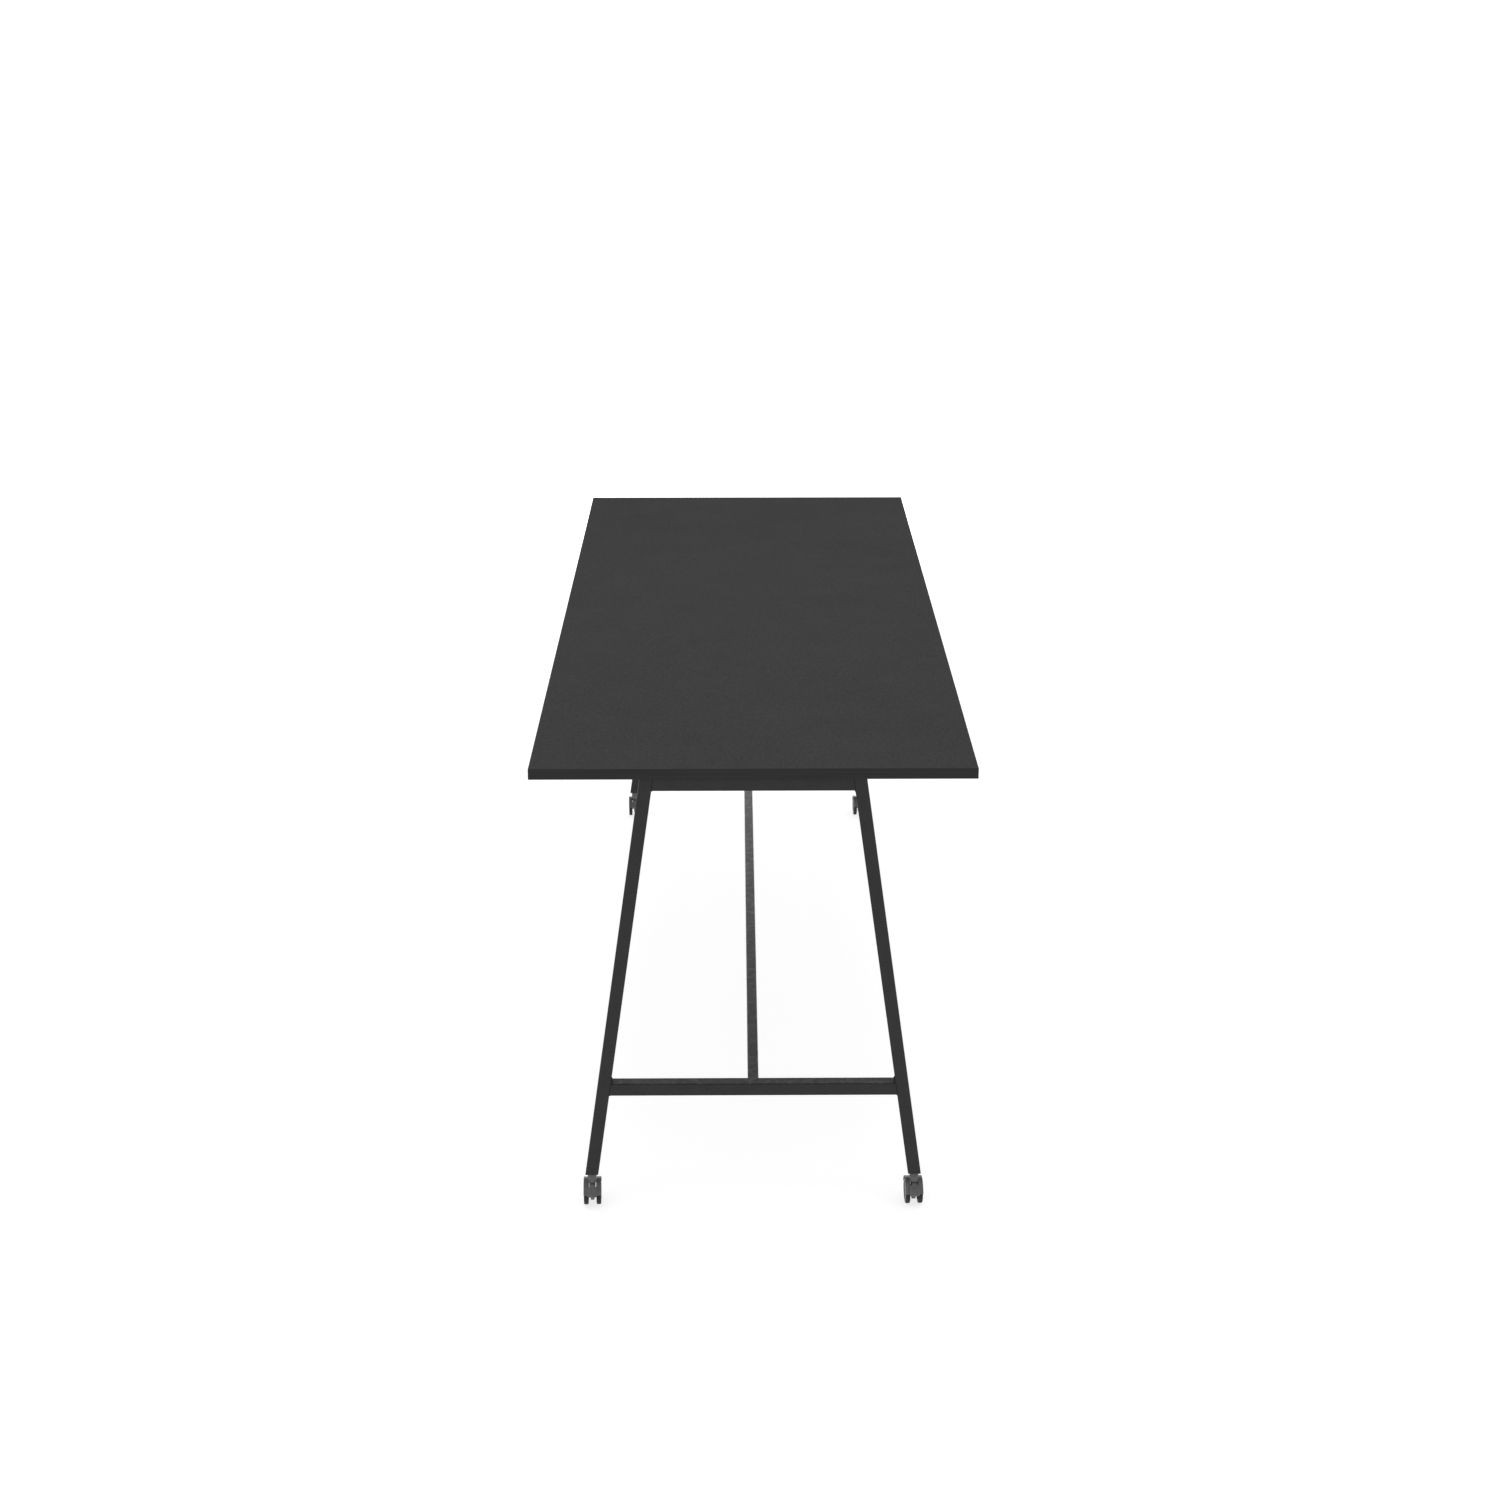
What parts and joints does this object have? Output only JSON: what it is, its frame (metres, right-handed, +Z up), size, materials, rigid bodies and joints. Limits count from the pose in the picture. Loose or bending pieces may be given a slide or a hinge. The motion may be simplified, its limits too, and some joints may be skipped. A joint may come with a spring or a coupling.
{
  "type": "drafting table",
  "caption": "Standing-height rectangular work table with a fixed flat top on two A-shaped tube end frames, a foot rail, and braked twin-wheel castors.",
  "frame": {"origin": "on the floor under the middle of the worktop", "axes": "+X across the table to the right seen from the near end, +Y along the table to the far end, +Z up"},
  "size_m": [1, 2.4302, 1.1],
  "materials": {
    "laminate": "matt high-pressure laminate, dark grey",
    "chipboard": "raw chipboard, hidden",
    "edge_band": "matt ABS edge band, dark grey",
    "powder_coat": "fine-textured powder coat, dark grey",
    "zinc_steel": "zinc plated",
    "black_screw": "black zinc",
    "brass": "turned",
    "castor_nylon": "moulded nylon, mid grey",
    "wheel_nylon": "moulded nylon, dark grey",
    "tyre": "soft polyurethane tread, near black"
  },
  "bodies": {
    "table": {"beam_screws": "black_screw", "beam_spigots": "zinc_steel", "castor_collars": "castor_nylon", "castor_stem_clips": "zinc_steel", "crossbar_screws": "black_screw", "edge_band_far": "edge_band", "edge_band_left": "edge_band", "edge_band_near": "edge_band", "edge_band_right": "edge_band", "far_left_castor_stem": "zinc_steel", "far_leg_left": "powder_coat", "far_leg_right": "powder_coat", "far_lower_crossbar": "powder_coat", "far_right_castor_stem": "zinc_steel", "far_upper_crossbar": "powder_coat", "foot_rail": "powder_coat", "foot_rail_bolts": "black_screw", "foot_rail_tabs": "zinc_steel", "leg_plugs": "zinc_steel", "near_left_castor_stem": "zinc_steel", "near_leg_left": "powder_coat", "near_leg_right": "powder_coat", "near_lower_crossbar": "powder_coat", "near_right_castor_stem": "zinc_steel", "near_upper_crossbar": "powder_coat", "spigot_screws": "black_screw", "top_inserts": "brass", "under_beam_left": "powder_coat", "under_beam_right": "powder_coat", "worktop_backing": "laminate", "worktop_core": "chipboard", "worktop_laminate": "laminate"},
    "near_left_castor": {"near_left_castor_hood": "castor_nylon", "near_left_castor_axle": "zinc_steel"},
    "near_left_brake": {"near_left_castor_brake_pedal": "castor_nylon"},
    "near_left_wheel_left": {"near_left_castor_wheel_left": "wheel_nylon", "near_left_castor_tyre_left": "tyre"},
    "near_left_wheel_right": {"near_left_castor_wheel_right": "wheel_nylon", "near_left_castor_tyre_right": "tyre"},
    "near_right_castor": {"near_right_castor_hood": "castor_nylon", "near_right_castor_axle": "zinc_steel"},
    "near_right_brake": {"near_right_castor_brake_pedal": "castor_nylon"},
    "near_right_wheel_left": {"near_right_castor_wheel_left": "wheel_nylon", "near_right_castor_tyre_left": "tyre"},
    "near_right_wheel_right": {"near_right_castor_wheel_right": "wheel_nylon", "near_right_castor_tyre_right": "tyre"},
    "far_left_castor": {"far_left_castor_hood": "castor_nylon", "far_left_castor_axle": "zinc_steel"},
    "far_left_brake": {"far_left_castor_brake_pedal": "castor_nylon"},
    "far_left_wheel_left": {"far_left_castor_wheel_left": "wheel_nylon", "far_left_castor_tyre_left": "tyre"},
    "far_left_wheel_right": {"far_left_castor_wheel_right": "wheel_nylon", "far_left_castor_tyre_right": "tyre"},
    "far_right_castor": {"far_right_castor_hood": "castor_nylon", "far_right_castor_axle": "zinc_steel"},
    "far_right_brake": {"far_right_castor_brake_pedal": "castor_nylon"},
    "far_right_wheel_left": {"far_right_castor_wheel_left": "wheel_nylon", "far_right_castor_tyre_left": "tyre"},
    "far_right_wheel_right": {"far_right_castor_wheel_right": "wheel_nylon", "far_right_castor_tyre_right": "tyre"}
  },
  "joints": [
    {"name": "near_left_swivel", "type": "hinge", "parent": "table", "child": "near_left_castor", "pos_m": [-0.377, -1.18, 0.07], "axis": [0, 0, 1], "continuous": true},
    {"name": "near_left_wheel_left_spin", "type": "hinge", "parent": "near_left_castor", "child": "near_left_wheel_left", "pos_m": [-0.37728, -1.172, 0.03], "axis": [0.9994, 0.0349, 0], "continuous": true},
    {"name": "near_left_wheel_right_spin", "type": "hinge", "parent": "near_left_castor", "child": "near_left_wheel_right", "pos_m": [-0.37728, -1.172, 0.03], "axis": [0.9994, 0.0349, 0], "continuous": true},
    {"name": "near_left_brake_press", "type": "hinge", "parent": "near_left_castor", "child": "near_left_brake", "pos_m": [-0.37728, -1.172, 0.03], "axis": [0.9994, 0.0349, 0], "range_deg": [0, 12]},
    {"name": "near_right_swivel", "type": "hinge", "parent": "table", "child": "near_right_castor", "pos_m": [0.377, -1.18, 0.07], "axis": [0, 0, 1], "continuous": true},
    {"name": "near_right_wheel_left_spin", "type": "hinge", "parent": "near_right_castor", "child": "near_right_wheel_left", "pos_m": [0.37672, -1.172, 0.03], "axis": [0.9994, 0.0349, 0], "continuous": true},
    {"name": "near_right_wheel_right_spin", "type": "hinge", "parent": "near_right_castor", "child": "near_right_wheel_right", "pos_m": [0.37672, -1.172, 0.03], "axis": [0.9994, 0.0349, 0], "continuous": true},
    {"name": "near_right_brake_press", "type": "hinge", "parent": "near_right_castor", "child": "near_right_brake", "pos_m": [0.37672, -1.172, 0.03], "axis": [0.9994, 0.0349, 0], "range_deg": [0, 12]},
    {"name": "far_left_swivel", "type": "hinge", "parent": "table", "child": "far_left_castor", "pos_m": [-0.377, 1.18, 0.07], "axis": [0, 0, 1], "continuous": true},
    {"name": "far_left_wheel_left_spin", "type": "hinge", "parent": "far_left_castor", "child": "far_left_wheel_left", "pos_m": [-0.37728, 1.188, 0.03], "axis": [0.9994, 0.0349, 0], "continuous": true},
    {"name": "far_left_wheel_right_spin", "type": "hinge", "parent": "far_left_castor", "child": "far_left_wheel_right", "pos_m": [-0.37728, 1.188, 0.03], "axis": [0.9994, 0.0349, 0], "continuous": true},
    {"name": "far_left_brake_press", "type": "hinge", "parent": "far_left_castor", "child": "far_left_brake", "pos_m": [-0.37728, 1.188, 0.03], "axis": [0.9994, 0.0349, 0], "range_deg": [0, 12]},
    {"name": "far_right_swivel", "type": "hinge", "parent": "table", "child": "far_right_castor", "pos_m": [0.377, 1.18, 0.07], "axis": [0, 0, 1], "continuous": true},
    {"name": "far_right_wheel_left_spin", "type": "hinge", "parent": "far_right_castor", "child": "far_right_wheel_left", "pos_m": [0.37672, 1.188, 0.03], "axis": [0.9994, 0.0349, 0], "continuous": true},
    {"name": "far_right_wheel_right_spin", "type": "hinge", "parent": "far_right_castor", "child": "far_right_wheel_right", "pos_m": [0.37672, 1.188, 0.03], "axis": [0.9994, 0.0349, 0], "continuous": true},
    {"name": "far_right_brake_press", "type": "hinge", "parent": "far_right_castor", "child": "far_right_brake", "pos_m": [0.37672, 1.188, 0.03], "axis": [0.9994, 0.0349, 0], "range_deg": [0, 12]}
  ]
}
